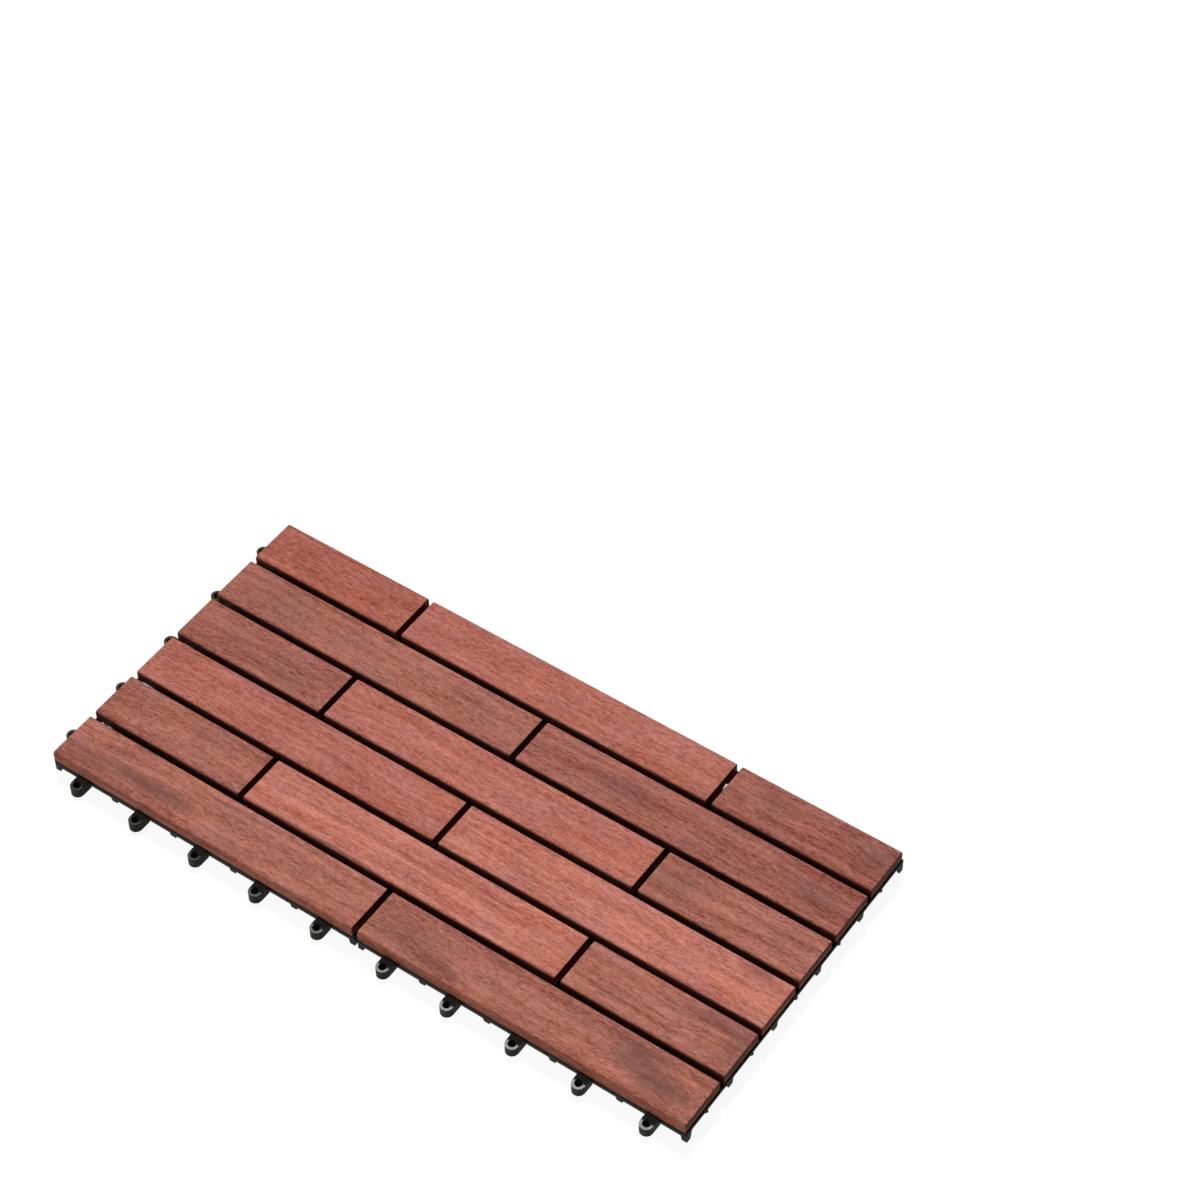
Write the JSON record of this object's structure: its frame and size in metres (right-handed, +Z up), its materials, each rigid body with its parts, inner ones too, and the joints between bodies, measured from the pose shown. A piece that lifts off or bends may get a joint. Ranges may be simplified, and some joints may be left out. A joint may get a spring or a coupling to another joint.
{
  "type": "interlocking deck tile",
  "caption": "Interlocking deck tile: hardwood slats in a staggered pattern, screwed from below to open plastic grids with connecting loops, pins and feet.",
  "frame": {"origin": "middle of the footprint, loops included, at the level of the feet", "axes": "+X along the slats, +Y away from the front loops, +Z up"},
  "size_m": [0.6086, 0.308, 0.0226],
  "materials": {
    "hardwood": "satin oiled",
    "grid_plastic": "matt moulded",
    "screw_steel": "zinc plated"
  },
  "bodies": {
    "root": {"base_grid_left": "grid_plastic", "base_grid_right": "grid_plastic", "slat_screws": "screw_steel", "slat_row1_left": "hardwood", "slat_row1_middle": "hardwood", "slat_row1_right": "hardwood", "slat_row2_left": "hardwood", "slat_row2_right": "hardwood", "slat_row3_left": "hardwood", "slat_row3_middle": "hardwood", "slat_row3_right": "hardwood", "slat_row4_left": "hardwood", "slat_row4_right": "hardwood", "slat_row5_left": "hardwood", "slat_row5_middle": "hardwood", "slat_row5_right": "hardwood", "slat_row6_left": "hardwood", "slat_row6_right": "hardwood"}
  },
  "joints": []
}
